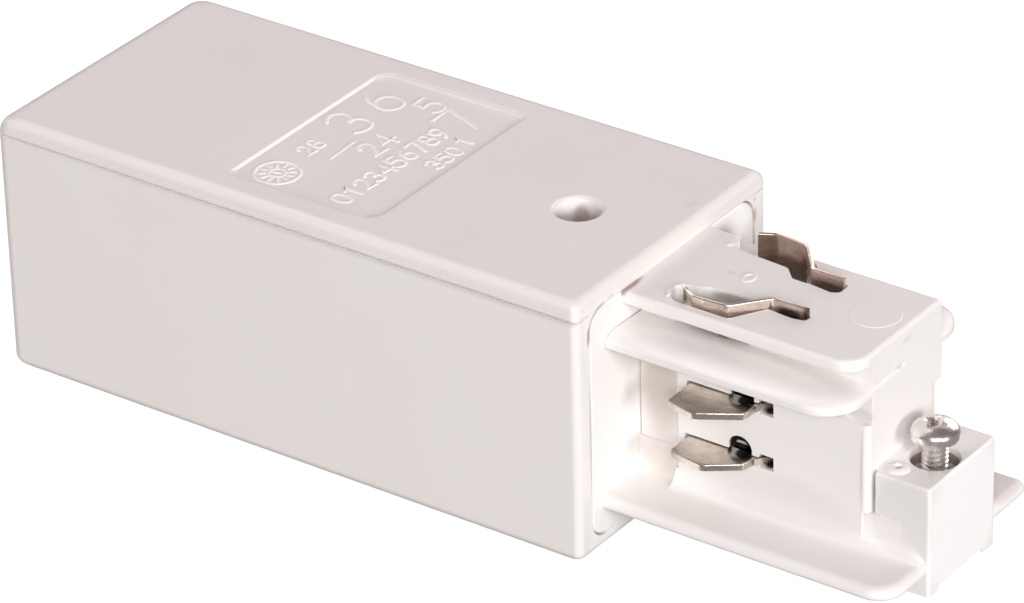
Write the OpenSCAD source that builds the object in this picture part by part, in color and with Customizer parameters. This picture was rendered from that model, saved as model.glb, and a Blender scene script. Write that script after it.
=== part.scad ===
// Track end feed: a feed box with a removable lid and a plug that enters the
// end of a three-circuit lighting track. Millimetres. +X runs from the cable
// entry to the plug, +Z up, the part stands on the flat underside of the box.

/* [Feed box] */
// Length of the box
housing_l = 78.3; // [74:0.1:90]
// Width of the box, the same as the track's
housing_w = 36; // [36:0.5:40]
// Height of the box with its lid
housing_h = 31.85; // [31.5:0.05:33.5]
// Height of the line where the lid meets the base
parting_h = 29.4; // [29.3:0.05:29.5]
// Wall thickness of the box
wall = 2; // [1.8:0.1:2.2]
// Corner radius at the cable end
back_r = 2.2; // [1.6:0.1:2.6]
// Corner radius at the plug end
front_r = 0.9; // [0.6:0.1:1.1]
// Radius of the knock-out in the floor
knockout_r = 6.5; // [5:0.25:8]

/* [Cable entry] */
// Radius of the cable bore in the grommet
bore_r = 5; // [3.5:0.1:5.2]

/* [Lid] */
// Width of the screw well in the lid
lid_well_d = 5.2; // [5.1:0.1:6]
// Length of the rating panel recess
panel_l = 19.9; // [15:0.1:22]
// Depth of the rating panel recess
panel_depth = 0.3; // [0.2:0.05:0.5]

/* [Plug] */
// Length of the plug past the face of the box
plug_l = 36.1; // [35.6:0.1:38]
// Width of the bottom flange
bottom_flange_w = 27.9; // [26:0.1:29]
// Width of the middle ledge
ledge_w = 25.8; // [24:0.1:27]
// Reach of the top flange on its wide side
top_flange_wide = 9.7; // [9.4:0.1:10.5]
// Reach of the top flange on its keyed side
top_flange_keyed = 7.2; // [7.1:0.1:7.6]
// Height of the lower pair of phase contacts
lower_contact_h = 12.22; // [12.1:0.01:12.3]
// Height of the upper pair of phase contacts
upper_contact_h = 18.8; // [18.7:0.01:18.9]

/* [Clamp] */
// Screw head diameter
clamp_head_d = 5.26; // [5:0.02:5.4]
// Height of the screw head over the block at rest
clamp_lift = 2.4; // [2.1:0.1:3]

/* [Hidden] */

$fn = 48;
eps = 0.01;
white = "whitesmoke";
total_l = housing_l + plug_l;
hw = housing_w / 2;
// heights below are over a datum that lies this far under the underside of the box
datum = 0.5;
top_z = housing_h + datum;
parting_z = parting_h + datum;
lower_contact_z = lower_contact_h + datum;
upper_contact_z = upper_contact_h + datum;
panel_x = 30.1;
panel_y0 = -14.75;
panel_y1 = 14.1;
well_u = -11.75;      // lid screw, from the face of the box
well_y = -0.6;
entry_z = 13.5;      // cable entry
entry_r = bore_r + 1.6;
grommet_r = entry_r + 2;
clamp_x = 12.5;      // cable clamp, from the back
clamp_top = 18.8;
post_y = 9.7;
// plug: u is measured along +X from the face of the box
plate_h = 30.1;
flange_z0 = 5.6;
flange_z1 = 7.1;
floor_z = 11.2;
body_y = 7.1;        // half width over the side walls
core_y = 5.15;       // half width of the core between them
wall_u0 = 5;
wall_u1 = 28.3;
wall_top = 21.7;     // the side walls end here, the core's shoulders go on
core_u1 = 29;
ledge_z0 = 24.8;
ledge_z1 = 26.4;
top_z0 = 28.75;
top_z1 = 30.2;
block_u0 = 29.45;
block_z = 16.1;
block_y0 = -6.4;
block_y1 = 6.8;
eye_u = 16.1;        // pivot of a phase contact
eye_y = 4.15;
blade_t = 0.8;
strip_t = 0.65;
screw_u = 32.9;      // clamp screw
screw_y = -0.3;
pilot_r = 1.25;
term_u0 = -33;       // terminals
term_l = 8;
term_w = 5;
term_h = 7.2;
term_bore = 1.75;
earth_z = 21.8;
// terminals across the box: centre y, height of the wire bore
TERMS = [[-12.2, upper_contact_z - 0.43], [-6.1, lower_contact_z - 0.43], [0, earth_z + 0.33],
         [6.1, lower_contact_z - 0.43], [12.2, upper_contact_z - 0.43]];

module at_back() { translate([-total_l / 2, 0, -datum]) children(); }
module at_face() { translate([housing_l - total_l / 2, 0, -datum]) children(); }

// Rectangle with the corner radii r0 below and r1 above
module rrect(x0, x1, y0, y1, r0, r1) {
    translate([x0 + r0, y0]) square([x1 - x0 - 2 * r0, r0 + eps]);
    translate([x0, y0 + r0]) square([x1 - x0, y1 - r1 - y0 - r0]);
    translate([x0 + r1, y1 - r1 - eps]) square([x1 - x0 - 2 * r1, r1 + eps]);
    for (x = [x0 + r0, x1 - r0]) translate([x, y0 + r0]) circle(r0);
    for (x = [x0 + r1, x1 - r1]) translate([x, y1 - r1]) circle(r1);
}

// Plan outline with two round front corners and two square back corners
module tongue(x0, x1, y0, y1, r0, r1) {
    translate([x0, y0 + r0]) square([x1 - x0, y1 - y0 - r0 - r1]);
    translate([x0, y0]) square([x1 - r0 - x0, r0 + eps]);
    translate([x1 - r0, y0 + r0]) circle(r0);
    if (r1 > 0) {
        translate([x0, y1 - r1 - eps]) square([x1 - r1 - x0, r1 + eps]);
        translate([x1 - r1, y1 - r1]) circle(r1);
    }
}

// Outer form of the closed box
module box_form() {
    hull() for (y = [-1, 1]) {
        for (z = [datum + back_r, top_z - back_r]) translate([back_r, y * (hw - back_r), z]) sphere(back_r, $fn = 32);
        for (z = [datum + front_r, top_z - front_r]) translate([housing_l - front_r, y * (hw - front_r), z]) sphere(front_r, $fn = 32);
    }
}

// Section of the plug's face plate, seen along X, larger by m all round
module plate_section(m) { rrect(-15.5 - m, 15.5 + m, 2.45 - m, plate_h + m, 2.3 + m, 2.6 + m); }
module along_x(x0, x1) { translate([x0, 0, 0]) rotate([90, 0, 90]) linear_extrude(x1 - x0) children(); }

module base_housing() {
    color(white) at_back() difference() {
        union() {
            difference() {
                intersection() {
                    box_form();
                    translate([-1, -hw - 1, -1]) cube([housing_l + 2, housing_w + 2, parting_z + 1]);
                }
                // wiring chamber
                translate([wall, -hw + wall, wall]) cube([housing_l - 3 - wall, housing_w - 2 * wall, housing_h]);
                // groove that holds the face plate
                translate([housing_l - 3.05, -16.7, 1.3]) cube([1.85, 33.4, housing_h]);
                // front opening
                along_x(housing_l - 2, housing_l + 1) plate_section(0.1);
                translate([housing_l - 2, -15.6, plate_h - 3.2]) cube([3, 31.2, 5]);
            }
            // boss round the cable entry
            translate([wall - eps, 0, entry_z]) rotate([0, 90, 0]) cylinder(h = 1.2 + eps, r = grommet_r + 1.4);
            // cable rest and clamp posts
            translate([clamp_x, -5.5, wall - eps]) cube([5, 11, entry_z - bore_r - 0.1 - wall + eps]);
            for (y = [-post_y, post_y]) translate([clamp_x + 2.5, y, wall - eps]) cylinder(h = clamp_top - wall + eps, r = 3.2);
            // feet that locate the terminal block
            for (y = [-14.2, 14.2]) translate([housing_l - 31, y - 1.4, wall - eps]) cube([4.6, 2.8, 4]);
        }
        // cable entry
        translate([-1, 0, entry_z]) rotate([0, 90, 0]) cylinder(h = 6, r = entry_r);
        translate([-1, 0, entry_z]) rotate([0, 90, 0]) cylinder(h = 2, r = grommet_r + 0.1);
        // clamp screw pilots
        for (y = [-post_y, post_y]) translate([clamp_x + 2.5, y, 8]) cylinder(h = 20, r = pilot_r);
        // knock-out, a thin ring pressed into the underside
        translate([30, 0, -1]) difference() {
            cylinder(h = 2.3, r = knockout_r);
            translate([0, 0, -1]) cylinder(h = 4, r = knockout_r - 0.8);
        }
    }
}

module lid() {
    color(white) at_back() difference() {
        union() {
            difference() {
                intersection() {
                    box_form();
                    translate([-1, -hw - 1, parting_z]) cube([housing_l + 2, housing_w + 2, housing_h]);
                }
                // relief over the face plate
                translate([housing_l - 3.1, -16.75, 20]) cube([1.95, 33.5, plate_h + 0.06 - 20]);
                translate([housing_l - 2, -15.58, 20]) cube([4, 31.16, plate_h + 0.06 - 20]);
            }
            // skirt inside the walls
            difference() {
                translate([wall + 0.2, -hw + wall + 0.2, parting_z - 1.7]) cube([housing_l - 3.6 - wall, housing_w - 2 * wall - 0.4, 1.7 + eps]);
                translate([wall + 1.4, -hw + wall + 1.4, parting_z - 3]) cube([housing_l - 6 - wall, housing_w - 2 * wall - 2.8, 3]);
            }
            // corners beside the face plate
            difference() {
                for (y = [-15.55, 12.55]) translate([housing_l - 1.12, y, plate_h - 2]) cube([1.1, 3, 2.5]);
                along_x(housing_l - 2, housing_l + 1) plate_section(0.06);
            }
            // screw boss
            translate([housing_l + well_u, well_y, 24.5]) cylinder(h = parting_z - 24.5 + eps, r = 4);
        }
        translate([housing_l + well_u, well_y, 26.2]) cylinder(h = 10, d = lid_well_d);
        translate([housing_l + well_u, well_y, 20]) cylinder(h = 10, r = 1.7);
        // rating panel
        translate([0, 0, top_z - panel_depth]) linear_extrude(2) rrect(panel_x, panel_x + panel_l, panel_y0, panel_y1, 1, 1);
    }
}

// Pan-head screw standing on z = 0 of its seat, shank down, with a slot or a cross recess
module pan_screw(head_r, head_h, shank_r, shank_l, cross) {
    difference() {
        union() {
            cylinder(h = head_h * 0.45, r = head_r);
            intersection() {
                translate([0, 0, head_h - 2.2 * head_r]) sphere(2.2 * head_r, $fn = 64);
                cylinder(h = head_h, r = head_r);
            }
            translate([0, 0, -shank_l]) cylinder(h = shank_l + eps, r = shank_r);
        }
        for (a = cross ? [0, 90] : [0]) rotate(a) translate([-head_r * (cross ? 0.56 : 1.2), -0.36, head_h - 0.95])
            cube([head_r * (cross ? 1.12 : 2.4), 0.72, 2]);
    }
}

module lid_screw() {
    color("silver") at_face() translate([well_u, well_y, 26.2]) pan_screw(2.4, 1.8, 1.2, 11, true);
}

module entry_grommet() {
    color("dimgray") at_back() translate([0, 0, entry_z]) rotate([0, 90, 0]) difference() {
        union() {
            translate([0, 0, 0.1]) cylinder(h = 0.88, r = grommet_r);
            translate([0, 0, 0.5]) cylinder(h = 3, r = entry_r - 0.05);
            translate([0, 0, 3.22]) cylinder(h = 1.2, r = grommet_r - 0.6);
        }
        translate([0, 0, -1]) cylinder(h = 8, r = bore_r);
    }
}

module cable_clamp_bar() {
    color(white) at_back() difference() {
        translate([clamp_x - 0.5, -13.2, clamp_top]) cube([6, 26.4, 2.6]);
        for (y = [-post_y, post_y]) translate([clamp_x + 2.5, y, 10]) cylinder(h = 20, r = 1.7);
    }
}

module cable_clamp_screws() {
    color("silver") at_back() for (y = [-post_y, post_y]) translate([clamp_x + 2.5, y, clamp_top + 2.6]) pan_screw(2.6, 1.8, 1.2, 11, false);
}

module terminal_block() {
    color(white) at_face() difference() {
        translate([term_u0 - 1.6, -15.6, wall]) cube([term_l + 3.1, 31.2, 24.4]);
        for (t = TERMS) translate([0, t[0], t[1]]) {
            translate([term_u0 - 0.15, -2.62, -2.92]) cube([term_l + 0.3, 5.24, 30]);
            translate([term_u0 - 3, 0, 0]) rotate([0, 90, 0]) cylinder(h = 4, r = 2.1);
            translate([term_u0 + term_l - 1, -1.3, -0.6]) cube([4, 2.6, 1.2]);
        }
        for (y = [-14.4, 14.4]) translate([-31.1, y - 1.7, 0]) cube([4.8, 3.4, 6.2]);
    }
}

module terminal(i) {
    color("goldenrod") at_face() translate([term_u0, TERMS[i][0], TERMS[i][1]]) difference() {
        translate([0, -term_w / 2, -2.9]) cube([term_l, term_w, term_h]);
        translate([-1, 0, 0]) rotate([0, 90, 0]) cylinder(h = term_l + 2, r = term_bore);
        translate([3, 0, 0]) cylinder(h = 10, r = 1.3);
    }
}
module terminal_l1() { terminal(0); }
module terminal_l2() { terminal(1); }
module terminal_pe() { terminal(2); }
module terminal_l3() { terminal(3); }
module terminal_n() { terminal(4); }

module terminal_screws() {
    color("silver") at_face() for (t = TERMS) translate([term_u0 + 3, t[0], t[1] + term_h - 2.9 + 0.5])
        pan_screw(2.1, 1.5, 1.25, 3.2, false);
}

module plug_base() {
    color(white) at_face() difference() {
        union() {
            // face plate and the wider tongue behind it
            along_x(-1.35, 0) plate_section(0);
            translate([-2.95, -16.6, 1.4]) cube([1.7, 33.2, plate_h - 1.4]);
            // bottom flange
            translate([0, 0, flange_z0]) linear_extrude(flange_z1 - flange_z0)
                tongue(-eps, plug_l - 0.2, -bottom_flange_w / 2, bottom_flange_w / 2, 3.2, 1);
            // floor and side walls of the body
            translate([-eps, -6.6, flange_z1 - eps]) cube([wall_u0 + 1, 13.2, floor_z - flange_z1 + eps]);
            translate([wall_u0, -body_y, flange_z1 - eps]) cube([wall_u1 - wall_u0, 2 * body_y, wall_top - flange_z1]);
            translate([0, 0, flange_z1 - eps]) linear_extrude(floor_z - flange_z1 + eps)
                tongue(wall_u0, core_u1, -body_y, body_y, 0.9, 0.9);
            // end block and the web under the slit behind it
            translate([core_u1 - 1, -6.9, flange_z1 - eps]) cube([block_u0 - core_u1 + 1.4, 13.8, floor_z - flange_z1]);
            translate([block_u0, block_y0, 3]) cube([plug_l - block_u0, block_y1 - block_y0, block_z - 3]);
            // moulding boss on the block
            translate([31, -4.4, block_z - eps]) cylinder(h = 0.35, r = 1.3);
        }
        // bay for the core, open at the top and at the back
        translate([-4, -core_y - 0.1, floor_z]) cube([4 + eps, 2 * core_y + 0.2, 13.4]);
        translate([0, -core_y - 0.1, floor_z]) cube([core_u1 + 1, 2 * core_y + 0.2, 20]);
        translate([wall_u1, -8, floor_z]) cube([block_u0 - wall_u1, 16, 20]);
        // slots and windows for the contact blades
        for (z = [lower_contact_z, upper_contact_z], s = [-1, 1]) {
            translate([z == upper_contact_z ? 6.4 : 6.1, s * 6.5 - 1.5, z - 0.15]) cube([10.2, 3, blade_t + 0.3]);
            translate([15.4, s * 6.5 - 1.5, z - 0.25]) cube([1.9, 3, 1.7]);
        }
        for (s = [-1, 1]) {
            translate([13.1, s * 3.7, lower_contact_z + 1.28]) rotate([-90 * s, 0, 0]) cylinder(h = 5, r = 1.5);
            intersection() {
                translate([13.4, s * 3.7, upper_contact_z + 1.3]) rotate([-90 * s, 0, 0]) cylinder(h = 5, r = 1.5);
                translate([10, -10, 10]) cube([8, 20, wall_top - 0.45 - 10]);
            }
        }
        // clamp: head well, shank hole, chamber for the nut and the foot
        translate([screw_u, screw_y, 12.1]) cylinder(h = 10, d = clamp_head_d + 0.2);
        translate([screw_u, screw_y, 8]) cylinder(h = 10, r = 1.7);
        translate([screw_u - 2.55, screw_y - 2.85, 0]) cube([5.1, 5.7, 10.95]);
        // relief between the two feet of the block
        translate([block_u0 - 1, -4.4, 2]) cube([10, 8.8, 1.6]);
    }
}

// Opening of one earth contact through the top flange, near side
module earth_opening_2d() {
    translate([6, -6.6]) circle(1.6);
    polygon([[6, -8.2], [7.6, -8.4], [12.5, -8.4], [15.5, -4.5], [12.4, -4], [7.6, -4], [6, -5]]);
    polygon([[11.4, -7.4], [12.6, -8.2], [15.4, -4.4], [18.6, -4.4], [18.6, -2.1], [13.7, -2.1], [12.4, -4.1]]);
    translate([18.6, -3.25]) circle(1.15);
}

module plug_core() {
    color(white) at_face() difference() {
        union() {
            translate([-17, -core_y, floor_z + 0.05]) cube([17 + 1, 2 * core_y, 13.1]);
            translate([0.15, -core_y, floor_z + 0.05]) cube([wall_u1 + 0.1, 2 * core_y, ledge_z0 - floor_z]);
            translate([0.15, -6.5, floor_z + 0.05]) cube([wall_u0 - 0.2, 13, ledge_z0 - floor_z]);
            translate([wall_u0, -6.3, wall_top + 0.02]) cube([core_u1 - wall_u0, 13.5, ledge_z0 - wall_top]);
            // middle ledge
            translate([0, 0, ledge_z0]) linear_extrude(ledge_z1 - ledge_z0)
                tongue(0.15, core_u1, -ledge_w / 2, ledge_w / 2, 4.5, 4.5);
            // web and top flange
            translate([0.15, -6.3, ledge_z1 - eps]) cube([core_u1 - 0.15, 12.6, top_z0 - ledge_z1 + 2 * eps]);
            translate([0, 0, top_z0]) linear_extrude(top_z1 - top_z0)
                tongue(0.15, core_u1, -top_flange_wide, top_flange_keyed, 3, 0);
            // end post
            intersection() {
                translate([0, 0, floor_z + 0.05]) linear_extrude(wall_top - floor_z) tongue(20, core_u1, -body_y, 6, 0.65, 0.65);
                translate([wall_u1 + 0.02, -10, 0]) cube([5, 20, 40]);
            }
            translate([wall_u1 + 0.02, 0, 20.8]) cube([core_u1 - wall_u1 - 0.02, 7.2, 8]);
        }
        // openings for the earth contacts
        for (s = [0, 1]) mirror([0, s, 0]) {
            translate([0, 0, ledge_z1]) linear_extrude(6) earth_opening_2d();
            translate([14.4, -4.35, earth_z + strip_t]) cube([5.2, 1.5, 9]);
        }
        translate([3.7, 6.2, ledge_z1]) cube([9, 4, 6]);
        // grooves for the phase strips, pockets for the contact eyes and room for the blades
        for (z = [lower_contact_z, upper_contact_z], s = [0, 1]) mirror([0, s, 0]) {
            translate([-18, -core_y - 1, z - 0.82]) cube([18 + 17.9, 1 + core_y - 3.05, 0.8]);
            translate([14.2, -core_y - 1, z - 0.1]) cube([3.7, 1 + core_y - 2.8, blade_t + 0.55]);
            translate([5.6, -core_y - 1, z - 0.1]) cube([10.4, 1 + core_y - 4.3, blade_t + 0.2]);
        }
        // slot for the earth strip
        translate([-18, 1.55, earth_z - 0.05]) cube([18 + 12, 3.1, strip_t + 0.1]);
        translate([11.9, -4.65, earth_z - 0.05]) cube([7.8, 9.3, strip_t + 0.1]);
        // lid screw pilot
        translate([well_u, well_y, 14]) cylinder(h = 20, r = pilot_r);
    }
}

// Flat conductor of a phase with the rivet that carries its contact; near side, or mirrored to the far side
module phase_strip(far, z, yt) {
    color("peru") at_face() mirror([0, far, 0]) {
        translate([0, 0, z - 0.72]) linear_extrude(strip_t)
            polygon([[17.7, -5.08], [17.7, -3.15], [-17.5, -3.15], [-23, -yt + 0.97], [-27.5, -yt + 0.97],
                     [-27.5, -yt - 0.97], [-22.2, -yt - 0.97], [-17, -5.08]]);
        translate([eye_u, -eye_y, z - 0.1]) cylinder(h = 1.05, r = 0.7);
        translate([eye_u, -eye_y, z + blade_t + 0.06]) cylinder(h = 0.3, r = 1);
    }
}
module strip_l1() { phase_strip(0, upper_contact_z, 12.2); }
module strip_l2() { phase_strip(0, lower_contact_z, 6.1); }
module strip_l3() { phase_strip(1, lower_contact_z, 6.1); }
module strip_n() { phase_strip(1, upper_contact_z, 12.2); }

// Stamped phase contact: nose blade, neck and eye
UPPER = [[6.9, -6.5], [6.9, -11.6], [10.6, -12.3], [15.2, -9.5], [15.35, -7.3], [14.1, -6.5]];
LOWER = [[6.6, -6.5], [6.6, -10.8], [11.1, -11.5], [14.7, -8.95], [15.1, -7.3], [14.1, -6.5]];
module phase_contact(far, z, pts, notch_u) {
    color("lightgray") at_face() mirror([0, far, 0]) translate([0, 0, z]) difference() {
        linear_extrude(blade_t) difference() {
            union() {
                polygon(pts);
                polygon([[14.1, -6.7], [15.2, -7.6], [17.1, -4.4], [15.1, -3.9]]);
                translate([eye_u, -eye_y]) circle(1.15);
            }
            translate([notch_u, -6.8]) circle(1.5);
        }
        translate([eye_u, -eye_y, -1]) cylinder(h = 3, r = 0.75);
    }
}
module contact_l1() { phase_contact(0, upper_contact_z, UPPER, 13.3); }
module contact_l2() { phase_contact(0, lower_contact_z, LOWER, 13.1); }
module contact_l3() { phase_contact(1, lower_contact_z, LOWER, 13.1); }
module contact_n() { phase_contact(1, upper_contact_z, UPPER, 13.3); }

module earth_strip() {
    color("peru") at_face() translate([0, 0, earth_z]) linear_extrude(strip_t) union() {
        polygon([[19.6, -4.5], [19.6, 4.5], [-17.5, 4.5], [-22, 1], [-27.5, 1], [-27.5, -1], [-21.4, -1], [-17.1, 1.7], [12, 1.7], [12, -4.5]]);
    }
}

// Earth contact leaf on edge: side spring, cross link and anchored tail
module earth_contact(far) {
    color("lightgray") at_face() mirror([0, far, 0]) {
        translate([0, 0, 27.7]) linear_extrude(31.35 - 27.7)
            polygon([[6.29, -6.77], [6.11, -7.13], [7.85, -8.03], [9.2, -8.12], [12.1, -7.9], [15.35, -3.97], [19.3, -3.92], [19.3, -3.5], [15.05, -3.52], [11.9, -7.42], [9.2, -7.68], [7.95, -7.61]]);
        translate([0, 0, 27.3]) linear_extrude(0.6) polygon([[11, -7.98], [12, -7.9], [12.3, -7.6], [11.9, -7.42], [11, -7.52]]);
        translate([0, 0, earth_z + strip_t + 0.05]) linear_extrude(6) polygon([[15.35, -3.97], [19.3, -3.92], [19.3, -3.5], [15.35, -3.52]]);
    }
}
module earth_contact_near() { earth_contact(0); }
module earth_contact_far() { earth_contact(1); }

module clamp_screw() {
    color("silver") at_face() translate([screw_u, screw_y, block_z + clamp_lift])
        pan_screw(clamp_head_d / 2, 1.9, 1.4, block_z + clamp_lift - 6.3, true);
}

module clamp_nut() {
    color("silver") at_face() translate([screw_u, screw_y, 0]) difference() {
        translate([-2.5, -2.75, 8.5]) cube([5, 5.5, 2.4]);
        cylinder(h = 20, r = 1.45);
    }
}

module clamp_foot() {
    color(white) at_face() translate([screw_u, screw_y, 0]) difference() {
        translate([-2.4, -2.7, 3.9]) cube([4.8, 5.4, 4.3]);
        translate([0, 0, 6.2]) cylinder(h = 20, r = 1.45);
    }
}

base_housing();
lid();
lid_screw();
entry_grommet();
cable_clamp_bar();
cable_clamp_screws();
terminal_block();
terminal_l1();
terminal_l2();
terminal_l3();
terminal_n();
terminal_pe();
terminal_screws();
plug_base();
plug_core();
strip_l1();
strip_l2();
strip_l3();
strip_n();
earth_strip();
contact_l1();
contact_l2();
contact_l3();
contact_n();
earth_contact_near();
earth_contact_far();
clamp_screw();
clamp_nut();
clamp_foot();
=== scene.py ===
import bpy, bmesh, math, random
from mathutils import Vector, Matrix


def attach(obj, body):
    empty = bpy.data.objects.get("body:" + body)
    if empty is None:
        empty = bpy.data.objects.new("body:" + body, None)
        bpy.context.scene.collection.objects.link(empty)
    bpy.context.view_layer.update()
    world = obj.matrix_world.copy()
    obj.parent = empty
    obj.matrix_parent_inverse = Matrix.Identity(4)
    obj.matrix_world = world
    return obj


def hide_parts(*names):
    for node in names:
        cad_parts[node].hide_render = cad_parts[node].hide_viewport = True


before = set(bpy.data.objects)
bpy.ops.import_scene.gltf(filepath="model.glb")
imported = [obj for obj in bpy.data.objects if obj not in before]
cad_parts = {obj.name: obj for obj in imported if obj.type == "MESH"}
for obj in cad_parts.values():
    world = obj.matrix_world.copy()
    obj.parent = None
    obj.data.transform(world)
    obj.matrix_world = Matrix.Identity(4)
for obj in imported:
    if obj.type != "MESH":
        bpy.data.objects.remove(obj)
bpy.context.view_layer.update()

# Lengths below are millimetres: x from the cable end of the box, y from its middle plane,
# z from a datum that lies half a millimetre under its underside.
BACK = 57.2          # the row frame's origin, from the cable end
FACE = 78.3          # face of the box that the plug stands out of
DATUM = 0.5
TOP = 32.35          # top of the lid over the datum
random.seed(7)


# ---------------------------------------------------------------- mesh helpers
def new_obj(name, bm):
    if bm.calc_volume(signed=True) < 0:
        bmesh.ops.reverse_faces(bm, faces=bm.faces[:])
    bm.normal_update()
    me = bpy.data.meshes.new(name)
    bm.to_mesh(me)
    bm.free()
    ob = bpy.data.objects.new(name, me)
    bpy.context.scene.collection.objects.link(ob)
    return ob


def rounded(points, seg=6):
    """Closed outline from (x, y, r) corners."""
    out = []
    n = len(points)
    for i in range(n):
        x, y, r = points[i]
        p = Vector((x, y))
        a = Vector(points[i - 1][:2]) - p
        b = Vector(points[(i + 1) % n][:2]) - p
        if r <= 0:
            out.append((x, y))
            continue
        a.normalize(); b.normalize()
        half = math.acos(max(-1, min(1, a.dot(b)))) / 2
        d = r / math.tan(half)
        c = p + (a + b).normalized() * (r / math.sin(half))
        s, e = p + a * d - c, p + b * d - c
        a0 = math.atan2(s.y, s.x)
        sweep = math.atan2(s.x * e.y - s.y * e.x, s.dot(e))
        k = max(2, round(abs(sweep) / (math.pi / 2) * seg))
        for j in range(k + 1):
            t = a0 + sweep * j / k
            out.append((c.x + r * math.cos(t), c.y + r * math.sin(t)))
    return out


def rect(x0, x1, y0, y1, r=0, seg=6):
    rs = r if isinstance(r, (list, tuple)) else [r] * 4     # x0y0, x1y0, x1y1, x0y1
    return rounded([(x0, y0, rs[0]), (x1, y0, rs[1]), (x1, y1, rs[2]), (x0, y1, rs[3])], seg)


def circle(cx, cy, r, n=48):
    return [(cx + r * math.cos(2 * math.pi * i / n), cy + r * math.sin(2 * math.pi * i / n)) for i in range(n)]


MAP = {"z": lambda a, b, c: (a, b, c), "x": lambda a, b, c: (c, a, b), "y": lambda a, b, c: (a, c, b)}


def prism(outline, lo, hi, axis="z", top=0.0, bottom=0.0, seg=3, name="prism", only=None):
    """Outline extruded from lo to hi along an axis; its top and bottom rims rounded.
    axis z: outline is (x, y); x: (y, z); y: (x, z). only(point) limits which rim edges are rounded."""
    area = sum(outline[i - 1][0] * outline[i][1] - outline[i][0] * outline[i - 1][1] for i in range(len(outline)))
    pts = outline if area > 0 else outline[::-1]
    bm = bmesh.new()
    low = [bm.verts.new((p[0], p[1], lo)) for p in pts]
    high = [bm.verts.new((p[0], p[1], hi)) for p in pts]
    n = len(pts)
    bm.faces.new(low[::-1])
    bm.faces.new(high)
    for i in range(n):
        bm.faces.new((low[i - 1], low[i], high[i], high[i - 1]))
    bm.normal_update()
    for ring, r in ((high, top), (low, bottom)):
        if r > 0:
            edges = []
            for i in range(n):
                e = bm.edges.get((ring[i - 1], ring[i]))
                mid = (ring[i - 1].co + ring[i].co) / 2
                if only is None or only(mid):
                    edges.append(e)
            bmesh.ops.bevel(bm, geom=edges, offset=r, offset_type="OFFSET", segments=seg, profile=0.5, affect="EDGES", clamp_overlap=True)
    f = MAP[axis]
    for v in bm.verts:
        v.co = Vector(f(*v.co))
    bmesh.ops.recalc_face_normals(bm, faces=bm.faces[:])
    return new_obj(name, bm)


def box(x0, x1, y0, y1, z0, z1, r=0.0, seg=3, name="box"):
    bm = bmesh.new()
    bmesh.ops.create_cube(bm, size=1)
    for v in bm.verts:
        v.co = Vector((x0 if v.co.x < 0 else x1, y0 if v.co.y < 0 else y1, z0 if v.co.z < 0 else z1))
    if r > 0:
        bmesh.ops.bevel(bm, geom=bm.edges[:], offset=r, offset_type="OFFSET", segments=seg, profile=0.5, affect="EDGES", clamp_overlap=True)
    return new_obj(name, bm)


def revolve(profile, cx, cy, axis="z", n=64, name="turned"):
    """Closed (r, h) profile turned about an axis through (cx, cy)."""
    bm = bmesh.new()
    f = MAP[axis]
    rings = []
    for r, h in profile:
        if r < 1e-6:
            rings.append([bm.verts.new(f(cx, cy, h))])
        else:
            rings.append([bm.verts.new(f(cx + r * math.cos(2 * math.pi * i / n), cy + r * math.sin(2 * math.pi * i / n), h)) for i in range(n)])
    pairs = list(zip(rings, rings[1:]))
    if not (len(rings[0]) == 1 and len(rings[-1]) == 1):
        pairs.append((rings[-1], rings[0]))
    for a, b in pairs:
        for i in range(n):
            j = (i + 1) % n
            if len(a) == 1 and len(b) == 1:
                continue
            if len(a) == 1:
                bm.faces.new((a[0], b[i], b[j]))
            elif len(b) == 1:
                bm.faces.new((a[i], a[j], b[0]))
            else:
                bm.faces.new((a[i], a[j], b[j], b[i]))
    bmesh.ops.recalc_face_normals(bm, faces=bm.faces[:])
    return new_obj(name, bm)


def combine(a, others, op):
    """a UNION / DIFFERENCE / INTERSECT each of the others, which are used up."""
    for o in others:
        for solver in ("MANIFOLD", "EXACT"):
            m = a.modifiers.new("b", "BOOLEAN")
            m.operation, m.object, m.solver = op, o, solver
            bpy.context.view_layer.update()
            e = a.evaluated_get(bpy.context.evaluated_depsgraph_get())
            me = bpy.data.meshes.new_from_object(e)
            a.modifiers.clear()
            if len(me.polygons):
                break
            bpy.data.meshes.remove(me)
        old = a.data
        a.data = me
        bpy.data.meshes.remove(old)
        bpy.data.objects.remove(o)
    return a


def cut(a, *o): return combine(a, o, "DIFFERENCE")
def add(a, *o): return combine(a, o, "UNION")
def keep(a, *o): return combine(a, o, "INTERSECT")


def mirrored(ob, name=None):
    """A copy on the other side of the middle plane."""
    bm = bmesh.new()
    bm.from_mesh(ob.data)
    for v in bm.verts:
        v.co.y = -v.co.y
    bmesh.ops.reverse_faces(bm, faces=bm.faces[:])
    return new_obj(name or ob.name, bm)


def join(obs, name):
    bm = bmesh.new()
    for o in obs:
        bm.from_mesh(o.data)
        bpy.data.objects.remove(o)
    return new_obj(name, bm)


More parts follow.
